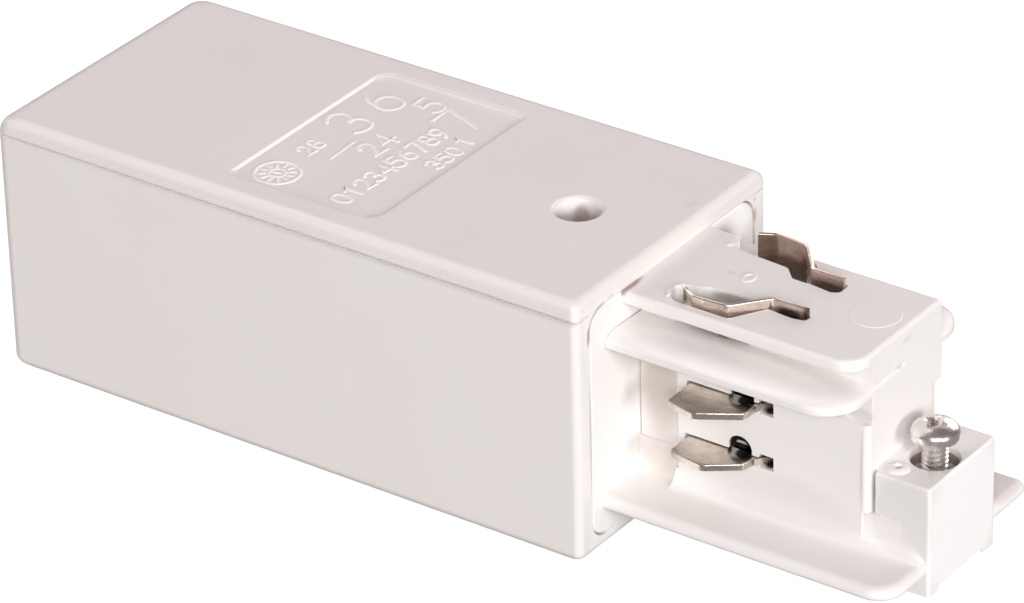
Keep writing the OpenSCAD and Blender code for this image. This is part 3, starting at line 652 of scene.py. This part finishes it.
# moulder's dial: a ring, an inner ring and twelve ticks, with a pointer
DX, DY = 34.4, -11.3
marks.append(mark(arc(DX, DY, 2.55, 2.55, 0, 345, 23), 0.42, 0.13, True))
marks.append(mark(arc(DX, DY, 0.95, 0.95, 0, 337.5, 15), 0.36, 0.11, True))
for k in range(12):
    t = math.radians(30 * k + 8)
    marks.append(mark([(DX + 1.4 * math.cos(t), DY + 1.4 * math.sin(t)), (DX + 1.95 * math.cos(t), DY + 1.95 * math.sin(t))], 0.32, 0.11))
marks.append(mark([(DX - 0.5, DY - 0.1), (DX + 0.5, DY + 0.12)], 0.34, 0.12))
marks += figures("28", 34.9, -6.2, 2.1, 0.40)
marks.append(mark([(37.3, -5.7), (37.1, -1.2)], 0.36, 0.10))
marks += figures("3", 36.6, 0.6, 5.4, 0.50)
marks += figures("6", 36.6, 6.6, 5.4, 0.50)
marks += figures("24", 41.1, -2.4, 3.0, 0.46)
marks += figures("5", 40.9, 9.2, 3.6, 0.48)
marks += figures("7", 46.6, 7.6, 5.2, 0.50)
marks += figures("0123456789", 44.9, -12.9, 2.4, 0.42, 0.11, 0.82)
marks += figures("350", 48.6, -1.2, 2.1, 0.38)
marks += figures("1", 48.2, 4.8, 2.2, 0.38)
lid = join([lid] + marks, "lid")
lid = finish(lid, "housing_lid", "feed", ["lid"], M_LID)


# ---------------------------------------------------------------- plug
def U(u):
    return FACE + u


def tongue(x0, x1, y0, y1, r0, r1, inset=0.0, seg=10):
    """Plan outline with round front corners; the back edge isn't inset."""
    return rect(x0, x1 - inset, y0 + inset, y1 - inset,
                [0, max(r0 - inset, 0.02), max(r1 - inset, 0.02), 0], seg)


def quarter(rx, rz, z, up, n=6):
    """Levels of an elliptic edge: insets up to rx over the height rz, towards z."""
    out = []
    for k in range(n + 1):
        t = math.pi / 2 * k / n
        if up:
            out.append((rx * (1 - math.cos(t)), z - rz + rz * math.sin(t)))
        else:
            out.append((rx * (1 - math.sin(t)), z + rz - rz * math.cos(t)))
    return out


def fillet(a0, a1, p, q, dp, dq, r, axis="x", n=8):
    """Concave fillet along an axis in the corner (p, q), filling towards dp and dq."""
    e = 0.08
    pts = [(p - dp * e, q - dq * e), (p + dp * r, q - dq * e)]
    for k in range(n + 1):
        t = math.pi / 2 * k / n
        pts.append((p + dp * r * (1 - math.sin(t)), q + dq * r * (1 - math.cos(t))))
    pts.append((p - dp * e, q + dq * r))
    return prism(pts, a0, a1, axis)


plug = prism(PLATE(0), U(-1.35), FACE, "x", top=0.3, seg=4, only=lambda m: m.y > 2.6 or abs(m.x) > 12.9)
plug = add(plug, box(U(-2.95), U(-1.3), -16.6, 16.6, 1.4, 30.1))
flange = stack(lambda i: tongue(U(-0.6), U(35.9), -13.95, 13.95, 3.2, 1.2, i),
               quarter(0.62, 0.5, 5.6, False) + quarter(1.1, 0.9, 7.1, True, 8))
body = prism(rect(U(5), U(28.3), -7.1, 7.1, [0.4, 0.1, 0.1, 0.4]), 7.0, 21.7, top=0.12, seg=2)
plug = add(plug, flange, box(U(-0.6), U(6), -6.5, 6.5, 7.0, 11.2), body,
           prism([(U(20), -7.095), (U(26.5), -7.09), (U(32.6), -6.405), (U(32.6), 6.79), (U(26.5), 7.08), (U(20), 7.095)], 7.0, 11.2))
# soft roots where the walls meet the flange
def root(path, z, side, n=8):
    """Concave root along a wall's foot; path is (x, y, radius), side the way it spreads."""
    bm = bmesh.new()
    rings = []
    for x, y, r in path:
        sec = [(y - side * 0.3, z - 0.1), (y + side * r, z - 0.1)]
        for k in range(n + 1):
            t = math.pi / 2 * k / n
            sec.append((y + side * r * (1 - math.sin(t)), z + r * (1 - math.cos(t))))
        sec.append((y - side * 0.3, z + r))
        rings.append([bm.verts.new((x, a, b)) for a, b in sec])
    m = len(rings[0])
    for q, w in zip(rings, rings[1:]):
        for k in range(m):
            bm.faces.new((q[k - 1], q[k], w[k], w[k - 1]))
    bm.faces.new(rings[0][::-1]); bm.faces.new(rings[-1])
    bmesh.ops.recalc_face_normals(bm, faces=bm.faces[:])
    return new_obj("root", bm)


plug = add(plug,
           root([(U(4.9), -7.1, 1.9), (U(26.5), -7.09, 1.9), (U(32.6), -6.405, 1.9), (U(34.0), -6.4, 1.7), (U(34.9), -6.4, 1.1), (U(35.5), -6.4, 0.4)], 7.1, -1),
           root([(U(4.9), 7.1, 1.9), (U(26.5), 7.08, 1.9), (U(32.6), 6.79, 1.9), (U(34.0), 6.8, 1.7), (U(34.9), 6.8, 1.1), (U(35.5), 6.8, 0.4)], 7.1, 1),
           fillet(U(-0.1), U(5.2), -6.5, 7.1, -1, 1, 0.9), fillet(U(-0.1), U(5.2), 6.5, 7.1, 1, 1, 0.9))
block = prism(rounded([(U(29.45), -6.4, 0), (U(36.1), -6.4, 0.4), (U(36.1), 6.8, 0.6), (U(28.9), 6.8, 0), (U(28.9), -5.5, 0), (U(29.45), -5.5, 0)], 5),
              3.0, 16.1, top=0.36, seg=4, only=lambda m: m.x > U(29.7))
BOSS = (31.0, -4.4)
plug = add(plug, block,
           revolve([(0, 15.9), (1.35, 15.9), (1.3, 16.12), (1.1, 16.3), (0.75, 16.42), (0.5, 16.42), (0.42, 16.3), (0.3, 16.12), (0, 16.1)], U(BOSS[0]), BOSS[1], n=40))
SX, SY = 32.9, -0.3
LOW, HIGH = 12.72, 19.3
cuts = [box(U(-4), U(0.01), -5.25, 5.25, 11.2, 24.6), box(U(0), U(28.95), -5.25, 5.25, 11.2, 31.2),
        box(U(28.3), U(28.95), -8, 8, 11.2, 31.2),
        revolve([(0, 12.1), (2.66, 12.1), (2.66, 15.85), (2.78, 16.05), (2.95, 16.14), (2.95, 22), (0, 22)], U(SX), SY, n=80),
        prism(circle(U(SX), SY, 1.7, 40), 8, 18),
        box(U(SX - 2.55), U(SX + 2.55), SY - 2.85, SY + 2.85, 0, 10.95),
        box(U(28.45), U(38.45), -4.4, 4.4, 2, 3.6)]
for z in (LOW, HIGH):
    u0 = 6.4 if z == HIGH else 6.1
    for s in (-1, 1):
        cuts.append(box(U(u0), U(u0 + 10.2), min(s * 5, s * 8), max(s * 5, s * 8), z - 0.15, z + 0.95))
        cuts.append(box(U(15.4), U(17.3), min(s * 5, s * 8), max(s * 5, s * 8), z - 0.25, z + 1.45))
for s in (-1, 1):
    ya, yb = min(s * 3.7, s * 8.7), max(s * 3.7, s * 8.7)
    cuts.append(prism(circle(U(13.1), LOW + 1.28, 1.5, 48), ya, yb, "y"))
    cuts.append(keep(prism(circle(U(13.4), HIGH + 1.3, 1.5, 48), ya, yb, "y"), box(U(10), U(18), -10, 10, 10, 21.25)))
plug = cut(plug, *cuts)
plug = finish(plug, "plug_moulding", "feed", ["plug_base"], M_PLUG)


def ledge(i):
    """The middle ledge in plan; it stands a little off the plate beside the web."""
    return tongue(U(0.07), U(29), -12.9, 12.9, 4.5, 4.5, i, 16) + [(U(0.28), 6.2), (U(0.28), -6.2)]


core = box(U(-17), U(1), -5.15, 5.15, 11.25, 24.35)
core = add(core, box(U(0.15), U(28.4), -5.15, 5.15, 11.25, 25), box(U(0.15), U(4.95), -6.5, 6.5, 11.25, 25),
           prism(rect(U(5), U(29), -6.3, 7.2, 0.1), 21.72, 25),
           stack(ledge, quarter(0.25, 0.2, 24.8, False) + quarter(2.6, 0.85, 26.4, True, 10)),
           box(U(0.15), U(29), -6.3, 6.3, 26.3, 28.9),
           stack(lambda i: tongue(U(-0.02), U(29), -9.7, 7.25, 3.0, 0.3, i),
                 quarter(0.25, 0.25, 28.75, False) + quarter(0.5, 0.45, 30.2, True, 7)),
           keep(prism(rect(U(20), U(29), -7.1, 6.0, [0, 0.65, 0.65, 0]), 11.25, 21.75), box(U(28.32), U(31), -10, 10, 0, 40)),
           box(U(28.32), U(29), 0, 7.2, 20.8, 28.8))
# ejector mark and small moulding marks on the top flange
core = add(core,
           stack(lambda i: circle(U(24.9), 0.65, 2.85 - i, 56), [(0, 30.1), (0, 30.22), (0.08, 30.27)]),
           revolve([(0, 30.1), (0.55, 30.1), (0.5, 30.25), (0.3, 30.33), (0, 30.34)], U(3.95), 4.93, n=24),
           cut(stack(lambda i: [(U(9.6) + (0.85 - i) * math.cos(2 * math.pi * k / 28), -0.05 + (1.05 - i) * math.sin(2 * math.pi * k / 28)) for k in range(28)], [(0, 30.1), (0, 30.24), (0.1, 30.3)]),
               prism([(U(9.6) + 0.5 * math.cos(2 * math.pi * k / 24), -0.05 + 0.68 * math.sin(2 * math.pi * k / 24)) for k in range(24)], 30.2, 31)))
NEAR_OPEN = [(4.4, -8.45, 1.9), (12.55, -8.42, 0.7), (14.9, -4.5, 0.6), (18.0, -4.78, 0.6), (19.5, -4.5, 0.4), (19.6, -3.55, 0.3), (18.4, -2.5, 0.6), (13.7, -2.1, 0.6), (12.5, -3.62, 0.8),
             (8.9, -3.62, 1.2), (7.5, -3.85, 1.2), (6.2, -4.5, 0.8), (4.6, -4.5, 1.2)]
FAR_OPEN = [(4.4, 4.5, 1.2), (11.9, 3.95, 0.8), (13.6, 2.2, 0.8), (15.8, 2.3, 0.8), (18.5, 2.0, 0.6), (19.35, 2.5, 0.5),
            (19.3, 4.4, 0.5), (15.4, 4.6, 0.4), (14.0, 6.2, 0.3), (13.35, 6.5, 0.2), (13.3, 8.3, 0), (4.4, 8.45, 1.9)]
cuts = [prism(rounded([(U(u), y, r) for u, y, r in NEAR_OPEN], 5), 26.4, 32),
        prism(rounded([(U(u), y, r) for u, y, r in FAR_OPEN], 5), 26.4, 32),
        box(U(3.7), U(12.7), 6.2, 10.2, 26.4, 32.4),
        box(U(14.4), U(19.6), -4.35, -2.85, 22.45, 26.6), box(U(14.4), U(19.6), 2.85, 4.35, 22.45, 26.6),
        box(U(-18), U(12), 1.55, 4.65, 21.75, 22.5), box(U(11.9), U(19.7), -4.65, 4.65, 21.75, 22.5),
        prism(circle(*WELL, 1.25, 24), 14, 34)]
for z in (LOW, HIGH):
    for s in (-1, 1):
        def yy(a, b):
            return (min(s * a, s * b), max(s * a, s * b))
        cuts += [box(U(-18), U(17.9), *yy(3.05, 6.15), z - 0.82, z - 0.02),
                 box(U(14.2), U(17.9), *yy(2.8, 6.15), z - 0.1, z + 1.25),
                 box(U(5.6), U(16), *yy(4.3, 6.15), z - 0.1, z + 0.9)]
core = cut(core, *cuts)
# the small collar at the blind end of the near opening
collar = keep(cut(stack(lambda i: circle(U(6.35), -6.45, 2.4 - i, 48), [(0, 30.0), (0.05, 30.34), (0.12, 30.42)]), prism(circle(U(6.35), -6.45, 1.95, 48), 29, 31)),
              box(U(3), U(4.75), -8.0, -5.0, 29, 31))
core = add(core, collar)
core = finish(core, "plug_core_moulding", "feed", ["plug_core"], M_CORE)

# ---------------------------------------------------------------- contacts
UPPER = [(6.9, -6.5, 0), (6.9, -11.6, 0.5), (10.6, -12.3, 1.2), (15.2, -9.5, 0.8), (15.35, -7.3, 0.4), (14.1, -6.5, 0)]
LOWER = [(6.6, -6.5, 0), (6.6, -10.8, 0.5), (11.1, -11.5, 1.2), (14.7, -8.95, 0.8), (15.1, -7.3, 0.4), (14.1, -6.5, 0)]


def blade(pts, z, notch_u, name):
    """Stamped sheet with a rounded upper edge where it was cut."""
    out = rounded([(U(a), b, r) for a, b, r in pts], 5)
    t = 0.8
    c = prism(out, z, z + t, top=0.15, bottom=0.07, seg=4, name=name)
    neck = prism([(U(14.1), -6.7), (U(15.2), -7.6), (U(17.1), -4.4), (U(15.1), -3.9)], z, z + t)
    c = add(c, neck, prism(circle(U(16.1), -4.15, 1.15, 40), z, z + t))
    return cut(c, prism(circle(U(notch_u), -6.8, 1.5, 40), z - 1, z + 2), prism(circle(U(16.1), -4.15, 0.75, 32), z - 1, z + 2))


for far, z, pts, nu, node in ((0, HIGH, UPPER, 13.3, "contact_l1"), (0, LOW, LOWER, 13.1, "contact_l2"),
                              (1, LOW, LOWER, 13.1, "contact_l3"), (1, HIGH, UPPER, 13.3, "contact_n")):
    b = blade(pts, z, nu, node + "_blade")
    if far:
        m = mirrored(b)
        bpy.data.objects.remove(b)
        b = m
    finish(b, node + "_blade", node + "_body", [node], M_CONTACT)

def earth_leaf(low, end, name="leaf"):
    """Leaf on edge, its bends rounded, with the tab and the tail that hold it; low is its lower edge."""
    mid = [(6.2, -6.95), (7.9, -7.85), (9.2, -7.9), (12.0, -7.66), (15.2, -3.745), (end, -3.71)]
    radii = [0, 1.2, 4, 0.9, 0.9, 0]
    line = []
    for i, (p, r) in enumerate(zip(mid, radii)):
        if r == 0:
            line.append(Vector(p))
            continue
        a, b = Vector(mid[i - 1]) - Vector(p), Vector(mid[i + 1]) - Vector(p)
        da, db = a.normalized(), b.normalized()
        half = math.acos(max(-1, min(1, da.dot(db)))) / 2
        d = min(r / math.tan(half), a.length * 0.45, b.length * 0.45)
        rr = d * math.tan(half)
        c = Vector(p) + (da + db).normalized() * (rr / math.sin(half))
        s, e = Vector(p) + da * d - c, Vector(p) + db * d - c
        a0, sweep = math.atan2(s.y, s.x), math.atan2(s.x * e.y - s.y * e.x, s.dot(e))
        line += [c + Vector((rr * math.cos(a0 + sweep * k / 6), rr * math.sin(a0 + sweep * k / 6))) for k in range(7)]
    t = 0.205
    left, right = [], []
    for i, p in enumerate(line):
        d = (line[min(i + 1, len(line) - 1)] - line[max(i - 1, 0)]).normalized()
        nrm = Vector((-d.y, d.x))
        left.append((U((p + nrm * t).x), (p + nrm * t).y))
        right.append((U((p - nrm * t).x), (p - nrm * t).y))
    leaf = prism(right + left[::-1], low, 31.35, top=0.19, bottom=0.07, seg=5)
    tail = prism([(U(15.35), -3.96), (U(18.69), -3.91), (U(18.69), -3.51), (U(15.35), -3.53)], 22.5, 28)
    tab = prism([(U(11), -7.93), (U(12), -7.85), (U(12.2), -7.62), (U(11.9), -7.45), (U(11), -7.54)], 27.3, 28)
    return add(leaf, tail, tab)


leaf = earth_leaf(27.7, 19.45)
deep_leaf = earth_leaf(26.62, 19.15)
far_leaf = mirrored(deep_leaf)
bpy.data.objects.remove(deep_leaf)
finish(leaf, "earth_leaf_near", "earth_contact_near_body", ["earth_contact_near"], M_EARTH_N)
finish(far_leaf, "earth_leaf_far", "earth_contact_far_body", ["earth_contact_far"], M_EARTH_F)

# ---------------------------------------------------------------- screws
def cross_recess(cx, cy, top, reach, depth, w=0.36):
    """A tapering four-winged recess."""
    bm = bmesh.new()
    def outline(k, z):
        r, h = reach * k, w * (0.55 + 0.45 * k)
        pts = []
        for q in range(4):
            a = math.pi / 2 * q
            for x, y in ((r, -h * 0.8), (r, h * 0.8), (h * 1.5, h * 1.5)):
                pts.append((cx + x * math.cos(a) - y * math.sin(a), cy + x * math.sin(a) + y * math.cos(a), z))
        return [bm.verts.new(p) for p in pts]
    rings = [outline(1.06, top + 0.2), outline(1.0, top), outline(0.52, top - depth)]
    n = len(rings[0])
    for a, b in zip(rings, rings[1:]):
        for k in range(n):
            bm.faces.new((a[k - 1], a[k], b[k], b[k - 1]))
    bm.faces.new(rings[0]); bm.faces.new(rings[-1])
    bmesh.ops.recalc_face_normals(bm, faces=bm.faces[:])
    return new_obj("recess", bm)


def screw(cx, cy, seat, head_r, head_h, shank_r, tip, recess, name, n=72):
    """Pan-head machine screw, the shank cut with rings that follow the thread's pitch."""
    prof = [(0, tip), (shank_r * 0.72, tip), (shank_r * 0.82, tip + 0.25)]
    z = tip + 0.35
    while z < seat - 0.45:
        prof += [(shank_r * 0.80, z), (shank_r, z + 0.18), (shank_r, z + 0.26), (shank_r * 0.80, z + 0.44)]
        z += 0.52
    prof += [(shank_r * 0.9, seat - 0.1), (shank_r * 0.9, seat), (head_r - 0.2, seat), (head_r - 0.05, seat + 0.08), (head_r, seat + 0.25), (head_r, seat + head_h * 0.38)]
    for k in range(1, 11):
        t = math.pi / 2 * k / 10
        prof.append((head_r * (0.22 + 0.78 * math.cos(t)) if k < 10 else head_r * 0.22, seat + head_h * 0.38 + head_h * 0.62 * math.sin(t) ** 0.9))
    prof.append((0, seat + head_h))
    s = revolve(prof, cx, cy, n=n, name=name)
    return cut(s, cross_recess(cx, cy, seat + head_h, recess, 1.05))


cs = screw(U(SX), SY, 18.5, 2.63, 1.9, 1.4, 6.3, 1.45, "clamp_screw_turned")
finish(cs, "clamp_screw_turned", "clamp_screw_body", ["clamp_screw"], M_SCREW)
ls = screw(*WELL, 26.2, 2.4, 1.8, 1.2, 15.2, 1.35, "lid_screw_turned")
finish(ls, "lid_screw_turned", "feed", ["lid_screw"], M_SCREW)

# cable entry: a soft ring with a thin lip
gr = revolve([(5.02, 0.25), (5.25, 0.1), (8.3, 0.1), (8.58, 0.35), (8.58, 0.98), (6.5, 0.98), (6.5, 3.26), (7.8, 3.26), (8.0, 3.45),
              (8.0, 4.2), (7.8, 4.4), (5.25, 4.4), (5.02, 4.15)], 0, 13.5, "x", 96, "grommet")
finish(gr, "entry_ring", "feed", ["entry_grommet"], M_RUB)

# ---------------------------------------------------------------- the rest keeps its CAD shape
def paint(node, mat):
    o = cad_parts[node]
    o.data.materials.clear()
    o.data.materials.append(mat)


for n in ("terminal_l1", "terminal_l2", "terminal_l3", "terminal_n", "terminal_pe"):
    paint(n, M_BRASS)
for n in ("strip_l1", "strip_l2", "strip_l3", "strip_n", "earth_strip"):
    paint(n, M_COPPER)
for n in ("terminal_screws", "cable_clamp_screws", "clamp_nut", "clamp_foot"):
    paint(n, M_SCREW)
for n in ("cable_clamp_bar", "terminal_block"):
    paint(n, M_BOX)

# ---------------------------------------------------------------- floor, light, camera
bm = bmesh.new()
bmesh.ops.create_grid(bm, x_segments=2, y_segments=2, size=3.0)
for v in bm.verts:
    v.co.z = -0.00005
floor = new_obj("floor", bm)
m, N, L = material("floor_white")
out = N.new("ShaderNodeOutputMaterial")
p = N.new("ShaderNodeBsdfPrincipled")
p.inputs["Base Color"].default_value = (0.80, 0.80, 0.80, 1)
p.inputs["Roughness"].default_value = 0.9
p.inputs["Specular IOR Level"].default_value = 0.1
p.inputs["Emission Color"].default_value = (1.0, 1.0, 1.0, 1)
p.inputs["Emission Strength"].default_value = 0.60
L.new(p.outputs[0], out.inputs[0])
floor.data.materials.append(m)
floor.visible_diffuse = False        # the sweep would light the part from below
floor.visible_glossy = False

world = bpy.data.worlds.new("studio")
bpy.context.scene.world = world
world.use_nodes = True
wn, wl = world.node_tree.nodes, world.node_tree.links
wn.clear()
wo = wn.new("ShaderNodeOutputWorld")
wb = wn.new("ShaderNodeBackground")
wt = wn.new("ShaderNodeTexCoord")
# a dim studio: pinkish above, neutral below, brighter in front than behind
dot = wn.new("ShaderNodeVectorMath"); dot.operation = "DOT_PRODUCT"; dot.inputs[1].default_value = (0.62, -0.62, 0.0)
wl.new(wt.outputs["Generated"], dot.inputs[0])
fb = wn.new("ShaderNodeMapRange"); fb.interpolation_type = "SMOOTHSTEP"
fb.inputs["From Min"].default_value, fb.inputs["From Max"].default_value = -0.6, 0.6
wl.new(dot.outputs["Value"], fb.inputs["Value"])
upper = wn.new("ShaderNodeMix"); upper.data_type = "RGBA"
wl.new(fb.outputs[0], upper.inputs["Factor"])
upper.inputs["A"].default_value = (0.185, 0.145, 0.153, 1)
upper.inputs["B"].default_value = (0.275, 0.230, 0.240, 1)
sep = wn.new("ShaderNodeSeparateXYZ"); wl.new(wt.outputs["Generated"], sep.inputs[0])
ud = wn.new("ShaderNodeMapRange"); ud.interpolation_type = "SMOOTHSTEP"
ud.inputs["From Min"].default_value, ud.inputs["From Max"].default_value = -0.1, 0.15
wl.new(sep.outputs[2], ud.inputs["Value"])
whole = wn.new("ShaderNodeMix"); whole.data_type = "RGBA"
wl.new(ud.outputs[0], whole.inputs["Factor"])
whole.inputs["A"].default_value = (0.34, 0.33, 0.325, 1)
wl.new(upper.outputs["Result"], whole.inputs["B"])
wl.new(whole.outputs["Result"], wb.inputs["Color"])
wb.inputs["Strength"].default_value = 1.0
wl.new(wb.outputs[0], wo.inputs[0])


def area(name, at, to, size, power, color=(1, 1, 1)):
    d = bpy.data.lights.new(name, "AREA")
    d.shape = "RECTANGLE"
    d.size, d.size_y = size
    d.energy = power
    d.color = color
    o = bpy.data.objects.new(name, d)
    bpy.context.scene.collection.objects.link(o)
    o.location = at
    o.rotation_euler = (Vector(to) - Vector(at)).to_track_quat("-Z", "Y").to_euler()
    return o


def lamp(name, azimuth, height, dist, size, level, color=(1, 1, 1)):
    """A panel that lights a face turned towards it to the given level."""
    t, e = math.radians(azimuth), math.radians(height)
    at = (dist * math.cos(e) * math.cos(t), dist * math.cos(e) * math.sin(t), dist * math.sin(e))
    return area(name, at, (0.02, 0, 0.015), (size, size), level * math.pi ** 2 * dist ** 2, color)


lamp("key", -53.9, 25, 2.2, 0.9, 0.685)
lamp("front", -16, 16, 1.3, 0.3, 0.47)
lamp("back_fill", 180, 22, 1.8, 1.0, 0.34)
lamp("far_fill", 92, 22, 1.8, 1.0, 0.34)
# panels that only the metal and the satin sheen see
for sheen in (lamp("edge_sheen", 169, 59, 1.0, 0.5, 0.16), lamp("low_sheen", -138, -30, 1.2, 1.0, 0.26), lamp("low_back_sheen", 132, -29, 1.2, 0.6, 0.16),
              lamp("top_sheen", 126, 30, 1.2, 0.9, 0.10)):
    sheen.visible_diffuse = False

cam = bpy.data.cameras.new("photo_camera")
cam.sensor_width = 36
cam.lens = 206.2655
cam.clip_start, cam.clip_end = 0.01, 20
co = bpy.data.objects.new("photo_camera", cam)
bpy.context.scene.collection.objects.link(co)
co.matrix_world = Matrix((
    (0.8149491707, -0.2699480796, 0.5128214927, 0.326635572),
    (0.5790718154, 0.4145780021, -0.7019978011, -0.447314644),
    (-0.0231015516, 0.8690529987, 0.4941793235, 0.332110994),
    (0, 0, 0, 1)))
bpy.context.scene.camera = co

bpy.context.scene.view_settings.view_transform = "Standard"
bpy.context.scene.view_settings.look = "None"
bpy.context.scene.view_settings.exposure = 0
bpy.context.scene.view_settings.gamma = 1
